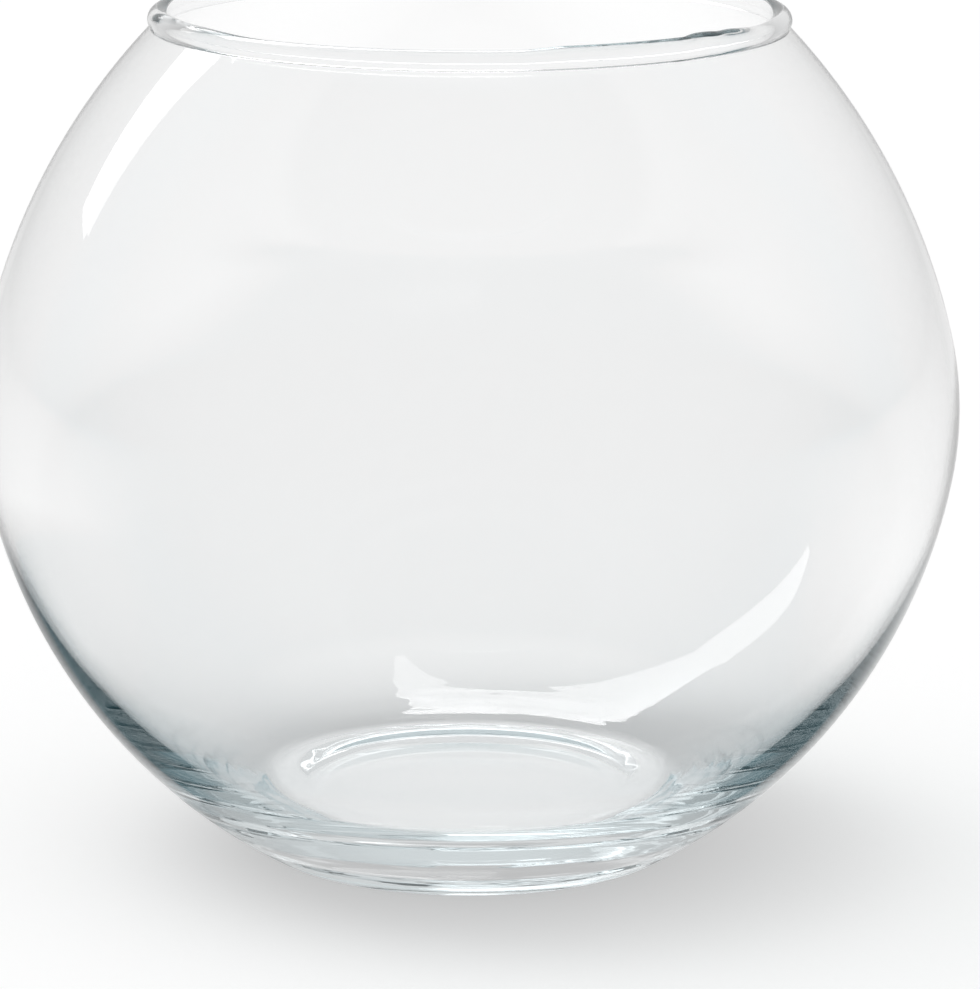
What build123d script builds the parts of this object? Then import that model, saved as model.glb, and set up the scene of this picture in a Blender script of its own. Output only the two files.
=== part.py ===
from build123d import *
from math import asin, cos, radians, sin
import os

# Rose bowl vase: one piece of clear glass, blown in a turning mould and cut at the lip by a flame,
# which leaves a round bead. It stands on z = 0 with its axis on Z.
# Lengths are millimetres and angles are degrees.

# Outside of the bowl
height = 129.6
belly_diameter = 150.0
belly_height = 68.1
belly_arc_radius = 52.5
belly_sweep_up = 13.5
belly_sweep_down = 10.4
foot_diameter = 66.4

# Rim bead
rim_diameter = 97.0
rim_bead_diameter = 3.2
rim_lean = 44.0
rim_outer_crease_fillet = 2.0
rim_inner_crease_fillet = 1.2

# Glass thickness, from the lip down to the base
neck_wall = 1.0
belly_wall = 1.2
lower_wall = 2.6
lower_wall_height = 16.0
base_thickness = 6.5

# Inside floor
floor_diameter = 50.0
floor_rise = 0.3
floor_edge_fillet = 6.0

# Underside: a bearing ring round a shallow push-up
heel_fillet = 0.8
bearing_ring_width = 5.0
push_up_step = 0.9
push_up_step_width = 1.2
push_up_rise = 1.8
push_up_fillet = 0.4

# Places in the half-section, as (radius, height)
belly_centre = (belly_diameter / 2 - belly_arc_radius, belly_height)
belly_sweep = belly_sweep_up + belly_sweep_down
bead_radius = rim_bead_diameter / 2
bead_centre = (rim_diameter / 2 - bead_radius, height - bead_radius)
inner_lip = (
    bead_centre[0] - neck_wall * cos(radians(rim_lean)),
    bead_centre[1] - neck_wall * sin(radians(rim_lean)),
)
foot_edge = (foot_diameter / 2, 0)
ring_inner_edge = (foot_diameter / 2 - bearing_ring_width, 0)
push_up_edge = (ring_inner_edge[0] - push_up_step_width, push_up_step)
push_up_top = (0, push_up_rise)
floor_edge = (floor_diameter / 2, base_thickness)
floor_top = (0, base_thickness + floor_rise)

with BuildPart() as glass_bowl:
    with BuildSketch(Plane.XZ) as half_section:
        with BuildLine():
            # Outside: the belly, the shoulder up to the lip and the lower wall down to the foot
            belly = CenterArc(belly_centre, belly_arc_radius, -belly_sweep_down, belly_sweep)
            TangentArc(belly @ 1, bead_centre, tangent=belly % 1)
            lower = TangentArc(belly @ 0, foot_edge, tangent=-(belly % 0))

            # Inside: the same run at the glass thickness, which grows towards the base
            heel_angle = asin((lower_wall_height - lower.arc_center.Y) / lower.radius)
            inner_heel = lower.arc_center + Vector(cos(heel_angle), sin(heel_angle)) * (lower.radius - lower_wall)
            inner_belly = CenterArc(belly_centre, belly_arc_radius - belly_wall, -belly_sweep_down, belly_sweep)
            TangentArc(inner_belly @ 1, inner_lip, tangent=inner_belly % 1)
            inner_lower = TangentArc(inner_belly @ 0, inner_heel, tangent=-(inner_belly % 0))
            TangentArc(inner_heel, floor_edge, tangent=inner_lower % 1)
            TangentArc(floor_top, floor_edge, tangent=(1, 0))
            Line(bead_centre, inner_lip)

            # Underside: the bearing ring, the step inside it and the push-up
            Polyline(foot_edge, ring_inner_edge, push_up_edge)
            TangentArc(push_up_top, push_up_edge, tangent=(1, 0))
            Line(push_up_top, floor_top)
        make_face()
        fillet(half_section.vertices().sort_by_distance(foot_edge)[0], heel_fillet)
        fillet(half_section.vertices().sort_by_distance(ring_inner_edge)[0], push_up_fillet)
        fillet(half_section.vertices().sort_by_distance(push_up_edge)[0], push_up_fillet)
        fillet(half_section.vertices().sort_by_distance(floor_edge)[0], floor_edge_fillet)

        # The rim bead round the lip, with its two creases softened as the flame leaves them
        with Locations(bead_centre):
            Circle(bead_radius)
        creases = half_section.vertices().sort_by_distance(bead_centre)[:2]
        inner_crease, outer_crease = sorted(creases, key=lambda vertex: vertex.X)
        fillet(outer_crease, rim_outer_crease_fillet)
        fillet(inner_crease, rim_inner_crease_fillet)
    revolve(axis=Axis.Z)
glass_bowl.part.label = "glass_bowl"

os.makedirs("parts", exist_ok=True)
export_step(glass_bowl.part, "parts/glass_bowl.step")
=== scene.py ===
"""The looks of a rose bowl vase: one piece of clear blown glass on a white studio floor.

Lengths in the classes are millimetres, as on a drawing, and become metres where Blender takes them.
Angles are degrees. The bowl stands on z = 0 with its axis on Z, and the camera looks along +Y.
"""

import logging
import math
from dataclasses import dataclass
from enum import Enum
from typing import Any

import bpy
import numpy as np
from mathutils import Matrix, Vector


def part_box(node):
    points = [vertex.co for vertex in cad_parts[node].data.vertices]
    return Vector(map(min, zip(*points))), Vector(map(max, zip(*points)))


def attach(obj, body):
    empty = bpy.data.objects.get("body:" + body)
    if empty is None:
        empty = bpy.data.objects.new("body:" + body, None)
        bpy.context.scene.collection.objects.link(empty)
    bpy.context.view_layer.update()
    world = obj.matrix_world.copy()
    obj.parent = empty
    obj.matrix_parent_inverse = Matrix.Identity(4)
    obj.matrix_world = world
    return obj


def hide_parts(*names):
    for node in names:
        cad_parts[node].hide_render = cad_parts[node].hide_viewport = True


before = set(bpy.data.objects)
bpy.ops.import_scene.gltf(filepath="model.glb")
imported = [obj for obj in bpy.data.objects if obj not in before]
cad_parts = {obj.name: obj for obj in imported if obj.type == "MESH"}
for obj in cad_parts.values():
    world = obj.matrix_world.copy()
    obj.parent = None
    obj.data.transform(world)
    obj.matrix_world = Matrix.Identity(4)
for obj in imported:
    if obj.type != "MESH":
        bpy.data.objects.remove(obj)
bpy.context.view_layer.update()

LOG = logging.getLogger("rose_bowl")
MM = 0.001
BODY = "root"
BOWL_NODE = "glass_bowl"
WHITE = (1.0, 1.0, 1.0, 1.0)

# How far Blender follows light through the glass, and through what is clear to it
LIGHT_BOUNCES = 96
CLEAR_BOUNCES = 24

# The distance within which two places are one, the halvings to find a crossing, and a bend's fewest points
SAME_PLACE = 1e-6
HALVINGS = 50
LEAST_BEND_POINTS = 5

# The turn of the camera's side about the axis, from +X
FRONT_TURN = -90.0

# The faces of glass that a ray crosses on its way through both walls of the bowl
BOTH_WALLS = 4

# Types: two numbers, a place in the room, the four values of a form that rises and falls, and nodes
Point = tuple[float, float]
Place = tuple[float, float, float]
Plateau = tuple[float, float, float, float]
Tree = bpy.types.NodeTree
Socket = bpy.types.NodeSocket


class Zone(Enum):
    """The stretches of the half-section, from the middle of the underside round to the inside floor."""

    UNDERSIDE = 0
    OUTSIDE = 1
    RIM = 2
    INSIDE = 3
    FLOOR = 4


class RayDepth(Enum):
    """Blender's counts of how often a ray has been mirrored by glass, or has crossed a face of it."""

    MIRRORED = "Glossy Depth"
    CROSSED = "Transmission Depth"


def linear(colour: str) -> tuple[float, float, float, float]:
    """Turn an sRGB hex colour into the linear colour that Blender's sockets take.

    Args:
        colour: Six hex digits after a hash sign.

    Returns:
        Red, green, blue and an alpha of 1.
    """
    shares = [int(colour[i:i + 2], 16) / 255 for i in (1, 3, 5)]
    red, green, blue = (c / 12.92 if c <= 0.04045 else ((c + 0.055) / 1.055) ** 2.4 for c in shares)
    return red, green, blue, 1.0


def add_node(tree: Tree, kind: str, inputs: dict[Any, Any], **settings: Any) -> bpy.types.Node:
    """Add a node, set its properties and fill its sockets.

    Args:
        tree: The node tree that takes the node.
        kind: Blender's type name of the node.
        inputs: A value, or another node's output to link, for each socket named or numbered.
        **settings: Properties of the node itself, such as an operation.

    Returns:
        The new node.
    """
    node = tree.nodes.new(kind)
    for name, value in settings.items():
        setattr(node, name, value)
    for socket, value in inputs.items():
        if isinstance(value, Socket):
            tree.links.new(value, node.inputs[socket])
        else:
            node.inputs[socket].default_value = value
    return node


def empty_tree(owner: Any) -> Tree:
    """Give a material, a world or a lamp an empty node tree."""
    owner.use_nodes = True
    owner.node_tree.nodes.clear()
    return owner.node_tree


def rise(tree: Tree, value: Socket, span: Point, curve: str = "SMOOTHSTEP") -> Socket:
    """Give a socket that goes from 0 to 1 as a value goes through a span, in Blender's units.

    Args:
        tree: The node tree.
        value: The value.
        span: The values at which the socket is 0 and 1.
        curve: Blender's name of the curve between them.

    Returns:
        The socket.
    """
    return add_node(tree, "ShaderNodeMapRange", {
        "Value": value, "From Min": span[0], "From Max": span[1],
    }, interpolation_type=curve).outputs[0]


def blend(tree: Tree, share: Socket, low: Any, high: Any) -> Socket:
    """Give a socket that goes from one level to another as a share goes from 0 to 1."""
    return add_node(tree, "ShaderNodeMix", {0: share, 2: low, 3: high}, data_type="FLOAT").outputs[0]


def blend_colours(tree: Tree, share: Socket, low: Any, high: Any) -> Socket:
    """Give a socket that goes from one colour to another as a share goes from 0 to 1."""
    return add_node(tree, "ShaderNodeMix", {0: share, 6: low, 7: high}, data_type="RGBA").outputs[2]


def more_than(tree: Tree, depth: RayDepth, count: int) -> Socket:
    """Give a socket that is 1 for a ray with more than a count of mirrors or crossings, and otherwise 0."""
    path = add_node(tree, "ShaderNodeLightPath", {})
    return add_node(tree, "ShaderNodeMath", {
        0: path.outputs[depth.value], 1: count + 0.5,
    }, operation="GREATER_THAN").outputs[0]


def crossed_bowl(tree: Tree) -> Socket:
    """Give a socket that is 1 for a ray that has crossed both walls of the bowl, and otherwise 0."""
    return more_than(tree, RayDepth.CROSSED, BOTH_WALLS - 1)


def thrown_about(tree: Tree) -> Socket:
    """Give a socket that is 1 for a ray that crossed both walls and was mirrored more than once."""
    return blend(tree, more_than(tree, RayDepth.MIRRORED, 1), 0.0, crossed_bowl(tree))


def mirrored_once(tree: Tree) -> Socket:
    """Give a socket that is 1 for a ray that crossed both walls and was mirrored once at most."""
    return blend(tree, more_than(tree, RayDepth.MIRRORED, 1), crossed_bowl(tree), 0.0)


def metres(lengths: Point) -> Point:
    """Turn two lengths in millimetres into metres."""
    return lengths[0] * MM, lengths[1] * MM


def smooth_step(value: np.ndarray, low: float, high: float) -> np.ndarray:
    """Rise smoothly from 0 at low to 1 at high, or fall where high is the smaller of the two."""
    share = np.clip((value - low) / (high - low), 0.0, 1.0)
    return share * share * (3.0 - 2.0 * share)


def plateau(value: np.ndarray, span: Plateau) -> np.ndarray:
    """Rise smoothly from 0 to 1 between a span's first two values, and fall again between its last two."""
    begin, full, full_end, end = span
    return smooth_step(value, begin, full) * smooth_step(value, end, full_end)


@dataclass(frozen=True)
class Arc:
    """A circular arc of the half-section.

    Attributes:
        centre: Its centre, as (radius, height).
        radius: Its radius.
        start: The direction from its centre to its first point, in radians.
        sweep: The angle that it turns through, in radians, positive anticlockwise.
    """

    centre: Point
    radius: float
    start: float
    sweep: float

    @classmethod
    def tangent(cls, start: Point, heading: Point, end: Point) -> "Arc":
        """Make the arc that leaves a point in a given direction and ends at another point.

        Args:
            start: The first point.
            heading: The direction of travel there.
            end: The last point.

        Returns:
            The arc.
        """
        length = math.hypot(*heading)
        left = (-heading[1] / length, heading[0] / length)
        chord = (end[0] - start[0], end[1] - start[1])
        offset = (chord[0] ** 2 + chord[1] ** 2) / (2 * (chord[0] * left[0] + chord[1] * left[1]))
        centre = (start[0] + left[0] * offset, start[1] + left[1] * offset)
        first = math.atan2(start[1] - centre[1], start[0] - centre[0])
        last = math.atan2(end[1] - centre[1], end[0] - centre[0])
        turn = (last - first) % math.tau
        return cls(centre, abs(offset), first, turn if offset > 0 else turn - math.tau)

    def at(self, share: float) -> Point:
        """Give the point at a share of the arc's length."""
        angle = self.start + self.sweep * share
        across, up = self.radius * math.cos(angle), self.radius * math.sin(angle)
        return self.centre[0] + across, self.centre[1] + up

    def heading(self, share: float) -> Point:
        """Give the direction of travel at a share of the arc's length."""
        angle = self.start + self.sweep * share
        way = math.copysign(1.0, self.sweep)
        return -way * math.sin(angle), way * math.cos(angle)

    def points(self, step: float) -> np.ndarray:
        """Give evenly spaced points along the arc, both ends among them.

        Args:
            step: The most that two points are apart.

        Returns:
            An array of (radius, height) rows.
        """
        count = max(2, math.ceil(self.radius * abs(self.sweep) / step) + 1)
        return np.array([self.at(share) for share in np.linspace(0.0, 1.0, count)])

    def reversed(self) -> "Arc":
        """Give the same arc, travelled the other way."""
        return Arc(self.centre, self.radius, self.start + self.sweep, -self.sweep)

    def until(self, share: float) -> "Arc":
        """Give the arc as far as a share of its length."""
        return Arc(self.centre, self.radius, self.start, self.sweep * share)


@dataclass
class BowlSection:
    """The half-section of the bowl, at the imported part's sizes but for its bends and the underside's step.

    Attributes:
        rim_crease: How far the bends beside the bead reach along the wall and along the bead.
        floor_crease: How far the bend at the inside floor's edge reaches to either side.
        heel_crease: The same for the outer edge of the foot.
        push_up_crease: The same for the step in the underside.
        wall_step: The most that two rings of the walls are apart.
        foot_step: The same for the inside just over the floor.
        fine_step: The same for the bead and the bends.
        guard_step: How far from each end of a bend a ring keeps the surface beside it unbent.
    """

    height: float
    belly_diameter: float
    belly_height: float = 68.1
    belly_arc_radius: float = 52.5
    belly_sweep_up: float = 13.5
    belly_sweep_down: float = 10.4
    foot_diameter: float = 66.4
    rim_diameter: float = 97.0
    rim_bead_diameter: float = 3.2
    rim_lean: float = 44.0
    rim_crease: Point = (0.14, 0.14)
    neck_wall: float = 1.0
    belly_wall: float = 1.2
    lower_wall: float = 2.6
    lower_wall_height: float = 16.0
    base_thickness: float = 6.5
    floor_diameter: float = 50.0
    floor_rise: float = 0.3
    floor_crease: float = 6.5
    heel_crease: float = 0.8
    bearing_ring_width: float = 5.0
    push_up_step: float = 0.9
    push_up_step_width: float = 3.0
    push_up_rise: float = 1.8
    push_up_crease: float = 2.4
    wall_step: float = 2.0
    foot_step: float = 0.45
    fine_step: float = 0.3
    guard_step: float = 0.1

    def stations(self) -> tuple[np.ndarray, np.ndarray]:
        """Walk round the section from the middle of the underside to the middle of the inside floor.

        Returns:
            The (radius, height) rows, and the number of the Zone of each.
        """
        up, down = math.radians(self.belly_sweep_up), math.radians(self.belly_sweep_down)
        belly_centre = (self.belly_diameter / 2 - self.belly_arc_radius, self.belly_height)
        bead_radius = self.rim_bead_diameter / 2
        bead = (self.rim_diameter / 2 - bead_radius, self.height - bead_radius)
        lean = math.radians(self.rim_lean)
        inner_lip = (bead[0] - self.neck_wall * math.cos(lean), bead[1] - self.neck_wall * math.sin(lean))
        foot_edge = (self.foot_diameter / 2, 0.0)
        ring_inner = (foot_edge[0] - self.bearing_ring_width, 0.0)
        push_up_edge = (ring_inner[0] - self.push_up_step_width, self.push_up_step)
        floor_edge = (self.floor_diameter / 2, self.base_thickness)

        belly = Arc(belly_centre, self.belly_arc_radius, -down, down + up)
        shoulder = Arc.tangent(belly.at(1), belly.heading(1), bead)
        down_wall = Arc.tangent(belly.at(0), belly.reversed().heading(1), foot_edge)
        inner_belly = Arc(belly_centre, self.belly_arc_radius - self.belly_wall, -down, down + up)
        inner_shoulder = Arc.tangent(inner_belly.at(1), inner_belly.heading(1), inner_lip)
        heel_turn = math.asin((self.lower_wall_height - down_wall.centre[1]) / down_wall.radius)
        heel_radius = down_wall.radius - self.lower_wall
        inner_heel = (
            down_wall.centre[0] + heel_radius * math.cos(heel_turn),
            down_wall.centre[1] + heel_radius * math.sin(heel_turn),
        )
        inner_wall = Arc.tangent(inner_belly.at(0), inner_belly.reversed().heading(1), inner_heel)
        inner_foot = Arc.tangent(inner_heel, inner_wall.heading(1), floor_edge)
        floor = Arc.tangent((0.0, self.base_thickness + self.floor_rise), (1.0, 0.0), floor_edge)
        push_up = Arc.tangent((0.0, self.push_up_rise), (1.0, 0.0), push_up_edge)

        outer_stop = self._share_at_bead(shoulder, bead, bead_radius)
        inner_stop = self._share_at_bead(inner_shoulder, bead, bead_radius)
        outer_end, inner_end = shoulder.at(outer_stop), inner_shoulder.at(inner_stop)
        bead_start = math.atan2(outer_end[1] - bead[1], outer_end[0] - bead[0])
        bead_end = math.atan2(inner_end[1] - bead[1], inner_end[0] - bead[0])
        bead_arc = Arc(bead, bead_radius, bead_start, (bead_end - bead_start) % math.tau)
        shoulder, inner_shoulder = shoulder.until(outer_stop), inner_shoulder.until(inner_stop)

        underside = [push_up.points(self.wall_step), self._line(push_up_edge, ring_inner)]
        underside.append(self._line(ring_inner, foot_edge))
        outside = [down_wall.reversed().points(self.wall_step), belly.points(self.wall_step)]
        outside.append(shoulder.points(self.wall_step))
        rim = [bead_arc.points(self.fine_step)]
        inside = [arc.reversed().points(self.wall_step) for arc in (inner_shoulder, inner_belly)]
        inside += [inner_wall.points(self.wall_step), inner_foot.points(self.foot_step)]
        inner_floor = [floor.reversed().points(self.wall_step)]
        path, zones = [], []
        for zone, runs in zip(Zone, (underside, outside, rim, inside, inner_floor)):
            for run in runs:
                path.append(run)
                zones.append(np.full(len(run), zone.value))
        points, numbers = np.concatenate(path), np.concatenate(zones)
        apart = np.r_[True, np.hypot(*np.diff(points, axis=0).T) > SAME_PLACE]
        points, numbers = points[apart], numbers[apart]
        along_wall, along_bead = self.rim_crease
        corners = [
            (push_up_edge, self.push_up_crease, self.push_up_crease),
            (ring_inner, self.push_up_crease, self.push_up_crease),
            (foot_edge, self.heel_crease, self.heel_crease),
            (bead_arc.at(0), along_wall, along_bead),
            (bead_arc.at(1), along_bead, along_wall),
            (floor_edge, self.floor_crease, self.floor_crease),
        ]
        for corner, before, after in corners:
            points, numbers = self._rounded(points, numbers, np.array(corner), before, after)
        return points, numbers

    def _line(self, start: Point, end: Point) -> np.ndarray:
        """Give points along a straight run, close enough together for its corners to be rounded."""
        count = math.ceil(math.dist(start, end) / self.wall_step) + 1
        return np.linspace(start, end, max(count, 3))

    @staticmethod
    def _share_at_bead(arc: Arc, bead: Point, bead_radius: float) -> float:
        """Find where an arc that runs to the lip enters the bead.

        Args:
            arc: The arc, whose last point lies in the bead.
            bead: The bead's centre.
            bead_radius: The bead's radius.

        Returns:
            The share of the arc's length that lies outside the bead.
        """
        low, high = 0.0, 1.0
        for _ in range(HALVINGS):
            middle = (low + high) / 2
            if math.dist(arc.at(middle), bead) > bead_radius:
                low = middle
            else:
                high = middle
        return low

    def _rounded(
        self, points: np.ndarray, zones: np.ndarray, corner: np.ndarray, before: float, after: float
    ) -> tuple[np.ndarray, np.ndarray]:
        """Replace a sharp corner of the section with a smooth bend.

        Args:
            points: The (radius, height) rows.
            zones: The zone number of each row.
            corner: The corner's place.
            before: How far before the corner the bend begins.
            after: How far after the corner it ends.

        Returns:
            The rows and zone numbers with the bend in them.
        """
        at = int(np.argmin(np.hypot(*(points - corner).T)))
        along = np.r_[0.0, np.cumsum(np.hypot(*np.diff(points, axis=0).T))]
        first, last = along[at] - before, along[at] + after
        marks = (first - self.guard_step, first, last, last + self.guard_step)
        guard, begin, end, far_guard = (
            np.array([np.interp(mark, along, points[:, i]) for i in (0, 1)]) for mark in marks
        )
        count = max(LEAST_BEND_POINTS, math.ceil((before + after) / self.fine_step))
        share = np.linspace(0.0, 1.0, count)[:, None]
        bend = (1 - share) ** 2 * begin + 2 * share * (1 - share) * points[at] + share ** 2 * end
        bend = np.concatenate([guard[None], bend, far_guard[None]])
        early = along < marks[0] - self.guard_step / 2
        late = along > marks[3] + self.guard_step / 2
        bend_zones = np.where(np.arange(len(bend)) < len(bend) / 2, zones[at - 1], zones[at + 1])
        return (
            np.concatenate([points[early], bend, points[late]]),
            np.concatenate([zones[early], bend_zones, zones[late]]),
        )


@dataclass(frozen=True)
class BlownSodaLimeGlass:
    """Clear soda-lime glass, blown in a mould and polished by the flame.

    It gives the eye almost nothing but bent light: bright inside, a mirror where the wall is seen along its
    length, and a blue-green tint only where light has come a long way through the thick base.
    """

    name: str = "Blown clear soda-lime glass"
    ior: float = 1.52
    roughness: float = 0.0
    tint: str = "#dbecf0"
    tint_depth: float = 160.0
    shadow_clear: str = "#f5f7f7"
    shadow_thick: str = "#6f7678"
    shadow_heights: Point = (36.0, 4.0)

    def material(self) -> bpy.types.Material:
        """Make the material.

        Returns:
            Glass with a tint by depth, which dims lamps a little where it shades the floor.
        """
        made = bpy.data.materials.new(self.name)
        tree = empty_tree(made)
        glass = add_node(tree, "ShaderNodeBsdfPrincipled", {
            "Base Color": WHITE,
            "Roughness": self.roughness,
            "IOR": self.ior,
            "Transmission Weight": 1.0,
        })
        path = add_node(tree, "ShaderNodeLightPath", {})
        place = add_node(tree, "ShaderNodeTexCoord", {})
        axes = add_node(tree, "ShaderNodeSeparateXYZ", {0: place.outputs["Object"]})
        thick = rise(tree, axes.outputs["Z"], metres(self.shadow_heights))
        shadow = blend_colours(tree, thick, linear(self.shadow_clear), linear(self.shadow_thick))
        shade = add_node(tree, "ShaderNodeBsdfTransparent", {"Color": shadow})
        lamp_ray = add_node(tree, "ShaderNodeMath", {
            0: path.outputs["Is Shadow Ray"], 1: path.outputs["Is Diffuse Ray"],
        }, operation="MAXIMUM")
        surface = add_node(tree, "ShaderNodeMixShader", {
            0: lamp_ray.outputs[0], 1: glass.outputs[0], 2: shade.outputs[0],
        })
        body = add_node(tree, "ShaderNodeVolumeAbsorption", {
            "Color": linear(self.tint), "Density": 1.0 / (self.tint_depth * MM),
        })
        add_node(tree, "ShaderNodeOutputMaterial", {
            "Surface": surface.outputs[0], "Volume": body.outputs[0],
        })
        return made


@dataclass
class GlassBowl:
    """The bowl itself: the section turned round its axis, with the unevenness of blown glass.

    Heights are over the floor and turns are from the camera's side, positive to the right. Where there
    are four, a form begins, is full, begins to end and ends there.

    Attributes:
        section: The half-section.
        glass: The material.
        segments: The faces round the bowl.
        waist_extra: How much thicker the wall is under the belly.
        lump_rise: How far the lump on the lip stands up.
        lump_dip: The share of that by which the lump dips at one turn.
        ridge_share: The share of the lump's rise that the ridges along the lip have.
        ripple_depth: The depth of the fine folds over the base.
        ripple_lengths: The lengths of the waves that add up to the folds.
        ripple_drifts: How far the waves wander round the bowl, slowly and quickly, in radians.
        ripple_swell: The waves' middle height, and how far it changes round the bowl.
    """

    section: BowlSection
    glass: BlownSodaLimeGlass
    segments: int = 288
    waist_extra: float = 0.2
    waist_heights: Plateau = (6.0, 14.0, 52.0, 78.0)
    lump_rise: float = 0.8
    lump_turns: Plateau = (37.5, 44.5, 48.0, 66.0)
    lump_dip: float = 0.25
    lump_dip_turn: float = 50.0
    lump_dip_width: float = 2.2
    ridge_share: float = 0.55
    ridge_turns: Plateau = (8.0, 18.0, 40.0, 48.0)
    far_ridge_turns: Plateau = (-84.0, -76.0, -58.0, -40.0)
    ripple_depth: float = 0.021
    ripple_lengths: tuple[float, float, float] = (1.9, 3.1, 5.3)
    ripple_drifts: Point = (1.7, 0.9)
    ripple_swell: Point = (0.6, 0.4)
    ripple_heights: Plateau = (6.0, 7.5, 9.0, 12.0)

    def build(self) -> bpy.types.Object:
        """Make the bowl's mesh, dress it and put it on the frame.

        Returns:
            The new object.
        """
        points, zones = self.section.stations()
        angles = np.arange(self.segments) / self.segments * math.tau
        body, kinds = points[1:-1], zones[1:-1]
        way = np.gradient(points, axis=0)[1:-1]
        normals = np.stack([way[:, 1], -way[:, 0]], axis=1) / np.hypot(*way.T)[:, None]
        depth = self._ripple(body, kinds, angles)
        radii = (body[:, 0] - self._waist(body[:, 1], kinds))[:, None] + normals[:, :1] * depth
        heights = body[:, 1:] + normals[:, 1:] * depth + self._lump(body, kinds, angles)
        rings = np.stack([radii * np.cos(angles), radii * np.sin(angles), heights], axis=2).reshape(-1, 3)
        poles = np.array([[0.0, 0.0, points[0, 1]], [0.0, 0.0, points[-1, 1]]])
        mesh = bpy.data.meshes.new(BOWL_NODE + "_glass")
        mesh.from_pydata((np.concatenate([rings, poles]) * MM).tolist(), [], self._faces(len(body)))
        mesh.shade_smooth()
        mesh.update()
        made = bpy.data.objects.new("rose_bowl_glass", mesh)
        bpy.context.scene.collection.objects.link(made)
        mesh.materials.append(self.glass.material())
        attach(made, BODY)
        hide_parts(BOWL_NODE)
        LOG.info("bowl: %d rings of %d, %d faces", len(body), self.segments, len(mesh.polygons))
        return made

    def _waist(self, heights: np.ndarray, zones: np.ndarray) -> np.ndarray:
        """Say how much thicker the wall is under the belly, where the glass hung longest in the mould."""
        return self.waist_extra * plateau(heights, self.waist_heights) * (zones == Zone.INSIDE.value)

    def _lump(self, body: np.ndarray, zones: np.ndarray, angles: np.ndarray) -> np.ndarray:
        """Say how far the rim stands up at the lump and the two ridges that the flame left along the lip.

        Args:
            body: The (radius, height) rows.
            zones: The zone number of each row.
            angles: The turn of each column about the axis, from +X.

        Returns:
            The rise of each row and column.
        """
        turn = (np.degrees(angles) - FRONT_TURN + 180.0) % 360.0 - 180.0
        shape = plateau(turn, self.lump_turns)
        dip = np.exp(-(((turn - self.lump_dip_turn) / self.lump_dip_width) ** 2))
        shape = shape - self.lump_dip * dip * (shape > 0)
        for ridge_turns in (self.ridge_turns, self.far_ridge_turns):
            shape = np.maximum(shape, self.ridge_share * plateau(turn, ridge_turns))
        bead_top = self.section.height
        bead_low = bead_top - self.section.rim_bead_diameter
        share = smooth_step(body[:, 1], bead_low, bead_top) * (zones == Zone.RIM.value)
        return self.lump_rise * share[:, None] * shape[None, :]

    def _ripple(self, body: np.ndarray, zones: np.ndarray, angles: np.ndarray) -> np.ndarray:
        """Say how far the inside swells or sinks over the base, where the glass chilled in fine folds.

        Args:
            body: The (radius, height) rows.
            zones: The zone number of each row.
            angles: The turn of each column about the axis, from +X.

        Returns:
            The offset of each row and column along the surface's normal.
        """
        share = plateau(body[:, 1], self.ripple_heights) * (zones == Zone.INSIDE.value)
        slow, quick = self.ripple_drifts
        middle, change = self.ripple_swell
        along = np.r_[0.0, np.cumsum(np.hypot(*np.diff(body, axis=0).T))]
        total = np.zeros((len(body), len(angles)))
        for number, length in enumerate(self.ripple_lengths, start=1):
            drift = slow * np.sin(number * angles + number) + quick * np.sin((2 * number + 3) * angles)
            swell = middle + change * np.sin((number + 4) * angles + 2.0 * number)
            total += np.sin(math.tau * along[:, None] / length + drift[None, :]) * swell[None, :] * length
        reach, count = sum(self.ripple_lengths), len(self.ripple_lengths)
        return self.ripple_depth * share[:, None] * total / reach * count

    def _faces(self, rings: int) -> list[tuple[int, ...]]:
        """Join the rings with quads and close both poles with fans, all facing outwards.

        Args:
            rings: The number of rings.

        Returns:
            The corners of each face.
        """
        around, bottom, top = self.segments, rings * self.segments, rings * self.segments + 1
        faces = []
        for row in range(rings - 1):
            for i in range(around):
                j = (i + 1) % around
                low, high = row * around, (row + 1) * around
                faces.append((low + i, low + j, high + j, high + i))
        last = (rings - 1) * around
        for i in range(around):
            j = (i + 1) % around
            faces.append((bottom, j, i))
            faces.append((top, last + i, last + j))
        return faces


@dataclass(frozen=True)
class BentStrip:
    """A flat strip of cloth that bends smoothly through a few stations.

    Attributes:
        stations: The middle of the strip and its width at each station, as (x, y, width).
        steps: Cross-sections from one station to the next.
    """

    stations: tuple[tuple[float, float, float], ...]
    steps: int = 8

    def edges(self) -> tuple[np.ndarray, np.ndarray]:
        """Give the places along the strip's two edges, as (x, y) rows."""
        rows = np.array(self.stations)
        rows = np.vstack([2.0 * rows[0] - rows[1], rows, 2.0 * rows[-1] - rows[-2]])
        share = np.arange(self.steps)[:, None] / self.steps
        runs = []
        for before, start, end, after in zip(rows, rows[1:], rows[2:], rows[3:]):
            bend = 2.0 * start + (end - before) * share
            bend = bend + (2.0 * before - 5.0 * start + 4.0 * end - after) * share ** 2
            runs.append((bend + (3.0 * start - before - 3.0 * end + after) * share ** 3) / 2.0)
        line = np.vstack([*runs, rows[-2]])
        way = np.gradient(line[:, :2], axis=0)
        way = way / np.linalg.norm(way, axis=1)[:, None]
        across = np.column_stack([-way[:, 1], way[:, 0]]) * line[:, 2:] / 2.0
        return line[:, :2] + across, line[:, :2] - across


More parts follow.
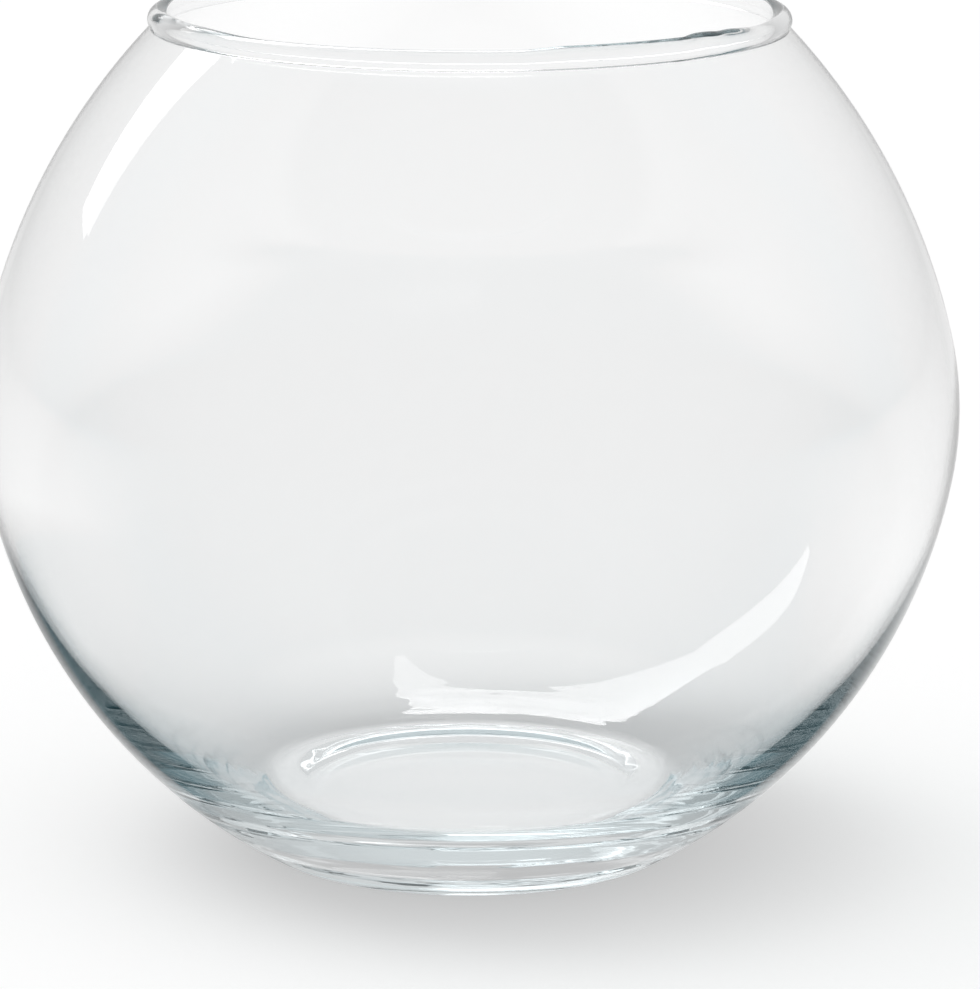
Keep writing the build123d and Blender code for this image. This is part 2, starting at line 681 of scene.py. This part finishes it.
@dataclass(frozen=True)
class DiffuserPanel:
    """Glowing diffuser cloth over the bowl, no lamp, which the back wall's inside mirrors as a painted
    crescent highlight.

    Attributes:
        height: The height that it hangs at.
        arm: The bent strip that is mirrored as the crescent.
        tail: The narrow strip at the arm's right end.
        painted_glow_peak: The place where its painted glow is brightest.
        falloff: The distances from that place over which its painted glow dims.
        strengths: Its brightness at those distances, where 1 is white.
    """

    height: float = 662.0
    arm: BentStrip = BentStrip((
        (-1600.0, 860.0, 60.0), (-1150.0, 730.0, 220.0), (-550.0, 420.0, 200.0), (-130.0, 570.0, 320.0),
        (-30.0, 1180.0, 20.0),
    ))
    tail: BentStrip = BentStrip(((-40.0, 800.0, 120.0), (30.0, 440.0, 110.0), (130.0, 90.0, 20.0)))
    painted_glow_peak: Point = (-60.0, 1000.0)
    falloff: Point = (300.0, 850.0)
    strengths: Point = (6.8, 2.9)

    def build(self) -> None:
        """Hang the panel, hidden from the camera, the floor and most of the glass."""
        mesh = bpy.data.meshes.new("diffuser_panel")
        places = []
        faces = []
        for strip in (self.arm, self.tail):
            first = len(places)
            for pair in zip(*strip.edges()):
                places += [(x * MM, y * MM, self.height * MM) for x, y in pair]
            faces += [(i, i + 1, i + 3, i + 2) for i in range(first, len(places) - 2, 2)]
        mesh.from_pydata(places, [], faces)
        mesh.materials.append(self._material())
        panel = bpy.data.objects.new("diffuser_panel", mesh)
        bpy.context.scene.collection.objects.link(panel)
        panel.visible_camera = False
        panel.visible_diffuse = False
        panel.visible_shadow = False

    def _material(self) -> bpy.types.Material:
        """Make cloth with a painted glow, seen by rays through both walls with one mirror at most, and else
        clear.
        """
        made = bpy.data.materials.new("Diffuser cloth with painted glow")
        tree = empty_tree(made)
        place = add_node(tree, "ShaderNodeNewGeometry", {})
        apart = add_node(tree, "ShaderNodeVectorMath", {
            0: place.outputs["Position"], 1: (*metres(self.painted_glow_peak), self.height * MM),
        }, operation="DISTANCE")
        # Painted pool of light: the cloth glows brightest at the peak and dimmer further off, with no lamp
        # lighting it
        strength = blend(tree, rise(tree, apart.outputs["Value"], metres(self.falloff)), *self.strengths)
        glow = add_node(tree, "ShaderNodeEmission", {"Strength": strength})
        clear = add_node(tree, "ShaderNodeBsdfTransparent", {})
        shown = blend(tree, more_than(tree, RayDepth.CROSSED, BOTH_WALLS), mirrored_once(tree), 0.0)
        seen = add_node(tree, "ShaderNodeMixShader", {0: shown, 1: clear.outputs[0], 2: glow.outputs[0]})
        add_node(tree, "ShaderNodeOutputMaterial", {"Surface": seen.outputs[0]})
        return made


@dataclass(frozen=True)
class Softbox:
    """A flat lamp that hangs level over the floor and is seen only off the glass or through it.

    Attributes:
        name: The lamp's name.
        place: Its centre.
        size: Its length and width.
        turn: Its turn about the upright.
        strength: Its brightness, where 1 is white.
        mirrors: The most mirrors after which it is seen in full.
        stray_share: Its share of the brightness after more mirrors, or after both walls of the bowl.
    """

    name: str
    place: Place
    size: Point
    turn: float
    strength: float
    mirrors: int = 3
    stray_share: float = 0.3

    def build(self) -> None:
        """Hang the lamp, hidden from the rays that see the diffuser panel."""
        lamp = bpy.data.lights.new(self.name, "AREA")
        lamp.shape = "RECTANGLE"
        lamp.size, lamp.size_y = metres(self.size)
        lamp.energy = self.strength * math.pi * lamp.size * lamp.size_y
        tree = empty_tree(lamp)
        share = blend(tree, more_than(tree, RayDepth.MIRRORED, self.mirrors), 1.0, self.stray_share)
        share = blend(tree, crossed_bowl(tree), share, self.stray_share)
        share = blend(tree, mirrored_once(tree), share, 0.0)
        glow = add_node(tree, "ShaderNodeEmission", {"Strength": share})
        add_node(tree, "ShaderNodeOutputLight", {"Surface": glow.outputs[0]})
        made = bpy.data.objects.new(self.name, lamp)
        made.location = Vector(self.place) * MM
        made.rotation_euler = (0.0, 0.0, math.radians(self.turn))
        made.visible_camera = False
        made.visible_diffuse = False
        bpy.context.scene.collection.objects.link(made)


@dataclass
class Studio:
    """A white floor in a white room, with two softboxes, a diffuser panel and a broad overhead lamp.

    What is seen directly or straight through the glass is white, but for a painted caustic glow on the floor
    under the foot. Rays that have met the glass as in a mirror see levels, where 1 is white: pale behind the
    bowl and overhead, dark beside and before it; on the floor these levels are painted shade and light.
    Radii are distances from the bowl's axis, and pale_radii from pale_centre on X. Spans are parts of a
    direction of length 1, and lee_left_span is a stretch of X.
    """

    # The floor as it is seen directly or through the glass, with a painted caustic glow under the foot
    floor_half: float = 3000.0
    floor_drop: float = 0.05
    floor_colour: str = "#d6d6d6"
    floor_glow: float = 0.51
    painted_caustic_glow: float = 0.46
    painted_caustic_glow_radii: Point = (36.0, 30.0)

    # The floor as the glass mirrors it: painted caustic under the foot, painted shade close by, further out
    # and far away
    painted_caustic_mirror_level: float = 0.52
    painted_caustic_mirror_radii: Point = (44.0, 54.0)
    lee_pivot: Point = (48.0, -14.0)
    lee_span: Point = (0.7, 1.0)
    painted_shade_level: float = 0.2
    lee_left_span: Point = (-90.0, -40.0)
    lee_left_share: float = 0.8
    back_level: float = 0.86
    pale_centre: float = -45.0
    pale_radii: Point = (108.0, 190.0)
    front_span: Point = (-0.6, 0.2)
    front_level: float = 0.12
    side_level: float = 0.95
    second_radii: Point = (60.0, 95.0)
    far_radii: Point = (160.0, 2500.0)

    # Rays that were thrown about in the base, or led along inside the wall
    deep_level: float = 0.8
    guided_mirrors: int = 12
    guided_level: float = 0.03

    # The room's light on the floor, and the room as the glass mirrors it
    room_light: float = 0.496
    room_side_span: Point = (-0.7, 0.7)
    room_left: float = 0.04
    room_right: float = 0.02
    room_back: float = 0.78
    room_back_tilt: float = 8.0
    room_back_span: Point = (0.15, 1.0)
    room_top: float = 0.9
    room_top_tilt: float = 70.0
    room_top_span: Point = (0.8, 0.92)
    shade_tint: str = "#7fdcf0"
    shade_levels: Point = (0.1, 0.4)

    # The lamps
    long_box: Softbox = Softbox("softbox", (-1160.0, 826.0, 660.0), (1570.0, 290.0), -28.0, 1.8)
    top_box: Softbox = Softbox("top softbox", (-265.0, 575.0, 660.0), (650.0, 560.0), 6.0, 4.2)
    panel: DiffuserPanel = DiffuserPanel()
    overhead_place: Place = (-520.0, 320.0, 800.0)
    overhead_breadth: float = 52.0
    overhead_level: float = 1.0

    def build(self) -> None:
        """Make the floor, the room's light, the softboxes, the panel and the overhead lamp."""
        self._floor()
        self._room()
        self.long_box.build()
        self.top_box.build()
        self.panel.build()
        self._overhead()

    def _floor(self) -> None:
        """Lay the floor, white to the camera and through the glass but for a painted caustic glow under the
        foot, and painted with shade and light as the glass mirrors it.
        """
        half, drop = metres((self.floor_half, self.floor_drop))
        mesh = bpy.data.meshes.new("studio_floor")
        mesh.from_pydata(
            [(-half, -half, -drop), (half, -half, -drop), (half, half, -drop), (-half, half, -drop)],
            [], [(0, 1, 2, 3)],
        )
        floor = bpy.data.objects.new("studio_floor", mesh)
        bpy.context.scene.collection.objects.link(floor)
        made = bpy.data.materials.new("Matt white studio paper")
        tree = empty_tree(made)
        paper = add_node(tree, "ShaderNodeBsdfDiffuse", {"Color": linear(self.floor_colour)})
        place = add_node(tree, "ShaderNodeNewGeometry", {}).outputs["Position"]
        radius = add_node(tree, "ShaderNodeVectorMath", {0: place}, operation="LENGTH").outputs["Value"]
        path = add_node(tree, "ShaderNodeLightPath", {})
        # Painted caustic: the floor under the foot glows brighter for rays through the glass
        painted_caustic_strength = blend(tree, rise(tree, radius, metres(self.painted_caustic_glow_radii)), 0.0, self.painted_caustic_glow)
        strength = add_node(tree, "ShaderNodeMath", {
            0: path.outputs["Is Transmission Ray"], 1: painted_caustic_strength, 2: self.floor_glow,
        }, operation="MULTIPLY_ADD")
        glow = add_node(tree, "ShaderNodeEmission", {"Strength": strength.outputs[0]})
        lit = add_node(tree, "ShaderNodeAddShader", {0: paper.outputs[0], 1: glow.outputs[0]})
        # As the glass mirrors it, the floor glows with painted shade and light, blue-green where darkest
        level = self._mirrored_floor(tree, place, radius)
        dim = add_node(tree, "ShaderNodeEmission", {"Color": self._shade(tree, level), "Strength": level})
        seen = add_node(tree, "ShaderNodeMixShader", {
            0: more_than(tree, RayDepth.MIRRORED, 0), 1: lit.outputs[0], 2: dim.outputs[0],
        })
        add_node(tree, "ShaderNodeOutputMaterial", {"Surface": seen.outputs[0]})
        mesh.materials.append(made)

    def _shade(self, tree: Tree, level: Socket) -> Socket:
        """Give the colour of a brightness in the room: blue-green in deep shade and white in the light."""
        share = rise(tree, level, self.shade_levels, "LINEAR")
        return blend_colours(tree, share, linear(self.shade_tint), WHITE)

    def _mirrored_floor(self, tree: Tree, place: Socket, radius: Socket) -> Socket:
        """Give the floor's painted brightness as the glass mirrors it.

        Args:
            tree: The floor's node tree.
            place: A place on the floor.
            radius: Its distance from the bowl's axis.

        Returns:
            A level with painted shade beside and before the bowl and a painted caustic under the foot, pale
            further out, and the room's own far away.
        """
        way = add_node(tree, "ShaderNodeVectorMath", {0: place}, operation="NORMALIZE").outputs[0]
        ahead = add_node(tree, "ShaderNodeSeparateXYZ", {0: way}).outputs["Y"]
        pale = blend(tree, rise(tree, ahead, self.front_span), self.front_level, self.side_level)
        off_centre = add_node(tree, "ShaderNodeVectorMath", {
            0: place, 1: (self.pale_centre * MM, 0.0, 0.0),
        }, operation="DISTANCE").outputs["Value"]
        further = rise(tree, off_centre, metres(self.pale_radii))
        near = blend(tree, further, self._painted_lee_shade(tree, place), pale)
        power = add_node(tree, "ShaderNodeMath", {0: radius, 1: math.e}, operation="LOGARITHM").outputs[0]
        first, last = metres(self.far_radii)
        away = rise(tree, power, (math.log(first), math.log(last)), "LINEAR")
        room = self._room_level(tree, way)
        far = blend(tree, away, near, room)
        open_floor = blend(tree, away, pale, room)
        second = blend(tree, rise(tree, radius, metres(self.second_radii)), far, open_floor)
        plain = blend(tree, more_than(tree, RayDepth.CROSSED, 1), far, second)
        guided = more_than(tree, RayDepth.MIRRORED, self.guided_mirrors)
        around = blend(tree, guided, plain, self.guided_level)
        # Painted caustic under the foot, inside a ring of painted shade close by
        footed = blend(tree, rise(tree, radius, metres(self.painted_caustic_mirror_radii)), self.painted_caustic_mirror_level, around)
        return blend(tree, thrown_about(tree), footed, self.deep_level)

    def _painted_lee_shade(self, tree: Tree, place: Socket) -> Socket:
        """Give the painted brightness of the floor close by: bright behind the bowl, painted shade beside
        and before it.
        """
        folded = add_node(tree, "ShaderNodeVectorMath", {0: place}, operation="ABSOLUTE")
        across = add_node(tree, "ShaderNodeSeparateXYZ", {0: folded.outputs[0]})
        along = add_node(tree, "ShaderNodeSeparateXYZ", {0: place})
        spot = add_node(tree, "ShaderNodeCombineXYZ", {"X": across.outputs["X"], "Y": along.outputs["Y"]})
        pivot = (*metres(self.lee_pivot), 0.0)
        arm = add_node(tree, "ShaderNodeVectorMath", {0: spot.outputs[0], 1: pivot}, operation="SUBTRACT")
        unit = add_node(tree, "ShaderNodeVectorMath", {0: arm.outputs[0]}, operation="NORMALIZE")
        turn = add_node(tree, "ShaderNodeSeparateXYZ", {0: unit.outputs[0]}).outputs["Y"]
        level = blend(tree, rise(tree, turn, self.lee_span), self.painted_shade_level, self.back_level)
        right = rise(tree, along.outputs["X"], metres(self.lee_left_span))
        share = blend(tree, right, self.lee_left_share, 1.0)
        return add_node(tree, "ShaderNodeMath", {0: level, 1: share}, operation="MULTIPLY").outputs[0]

    def _room_level(self, tree: Tree, way: Socket) -> Socket:
        """Give the room's mirrored brightness in a direction: pale behind and overhead, and else dim."""
        axes = add_node(tree, "ShaderNodeSeparateXYZ", {0: way})
        right = rise(tree, axes.outputs["X"], self.room_side_span, "LINEAR")
        side = blend(tree, right, self.room_left, self.room_right)
        behind = rise(tree, self._toward(tree, way, self.room_back_tilt), self.room_back_span, "LINEAR")
        around = blend(tree, behind, side, self.room_back)
        above = rise(tree, self._toward(tree, way, self.room_top_tilt), self.room_top_span)
        return blend(tree, above, around, self.room_top)

    @staticmethod
    def _toward(tree: Tree, way: Socket, tilt: float) -> Socket:
        """Give the cosine between a direction and the way to the back of the room, tilted up."""
        rise_angle = math.radians(tilt)
        return add_node(tree, "ShaderNodeVectorMath", {
            0: way, 1: (0.0, math.cos(rise_angle), math.sin(rise_angle)),
        }, operation="DOT_PRODUCT").outputs["Value"]

    def _room(self) -> None:
        """Fill the room with light: white to the camera, even on the floor, uneven in the glass."""
        world = bpy.data.worlds.new("White room")
        tree = empty_tree(world)
        path = add_node(tree, "ShaderNodeLightPath", {})
        way = add_node(tree, "ShaderNodeTexCoord", {})
        room = self._room_level(tree, way.outputs["Generated"])
        shown = blend(tree, thrown_about(tree), room, self.deep_level)
        seen = blend(tree, more_than(tree, RayDepth.MIRRORED, 0), 1.0, shown)
        level = blend(tree, path.outputs["Is Diffuse Ray"], seen, self.room_light)
        tint = self._shade(tree, level)
        glow = add_node(tree, "ShaderNodeBackground", {"Color": tint, "Strength": level})
        add_node(tree, "ShaderNodeOutputWorld", {"Surface": glow.outputs[0]})
        world.cycles.sampling_method = "NONE"
        bpy.context.scene.world = world

    def _overhead(self) -> None:
        """Light the floor evenly from overhead with a broad soft lamp that isn't mirrored in the glass."""
        lamp = bpy.data.lights.new("overhead", "SUN")
        lamp.energy = self.overhead_level
        lamp.angle = math.radians(self.overhead_breadth)
        made = bpy.data.objects.new("overhead", lamp)
        made.location = Vector(self.overhead_place) * MM
        made.rotation_euler = (-made.location).to_track_quat("-Z", "Y").to_euler()
        made.visible_glossy = False
        made.visible_transmission = False
        bpy.context.scene.collection.objects.link(made)


@dataclass
class PhotoCamera:
    """A long lens a little above the bowl, as in the picture."""

    distance: float = 720.0
    height: float = 226.0
    look_down: float = 13.43
    look_right: float = 0.26
    roll: float = 0.19
    lens: float = 174.8
    clip: Point = (10.0, 100000.0)

    def build(self) -> None:
        """Place the camera and make it the scene's own."""
        data = bpy.data.cameras.new("camera")
        data.lens = self.lens
        data.clip_start, data.clip_end = metres(self.clip)
        made = bpy.data.objects.new("camera", data)
        turn = Matrix.Rotation(-math.radians(self.look_right), 3, "Z")
        tilt = Matrix.Rotation(math.radians(90.0 - self.look_down), 3, "X")
        lean = Matrix.Rotation(math.radians(self.roll), 3, "Z")
        made.rotation_euler = (turn @ tilt @ lean).to_euler()
        made.location = Vector((0.0, -self.distance, self.height)) * MM
        bpy.context.scene.collection.objects.link(made)
        bpy.context.scene.camera = made


def main() -> None:
    """Build the bowl, the studio and the camera."""
    logging.basicConfig(level=logging.INFO, format="%(name)s: %(message)s")
    scene = bpy.context.scene
    scene.view_settings.view_transform = "Standard"
    scene.cycles.max_bounces = LIGHT_BOUNCES
    scene.cycles.glossy_bounces = LIGHT_BOUNCES
    scene.cycles.transmission_bounces = LIGHT_BOUNCES
    scene.cycles.transparent_max_bounces = CLEAR_BOUNCES
    low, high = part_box(BOWL_NODE)
    section = BowlSection(height=high.z / MM, belly_diameter=(high.x - low.x) / MM)
    GlassBowl(section, BlownSodaLimeGlass()).build()
    Studio().build()
    PhotoCamera().build()


if __name__ == "__main__":
    main()
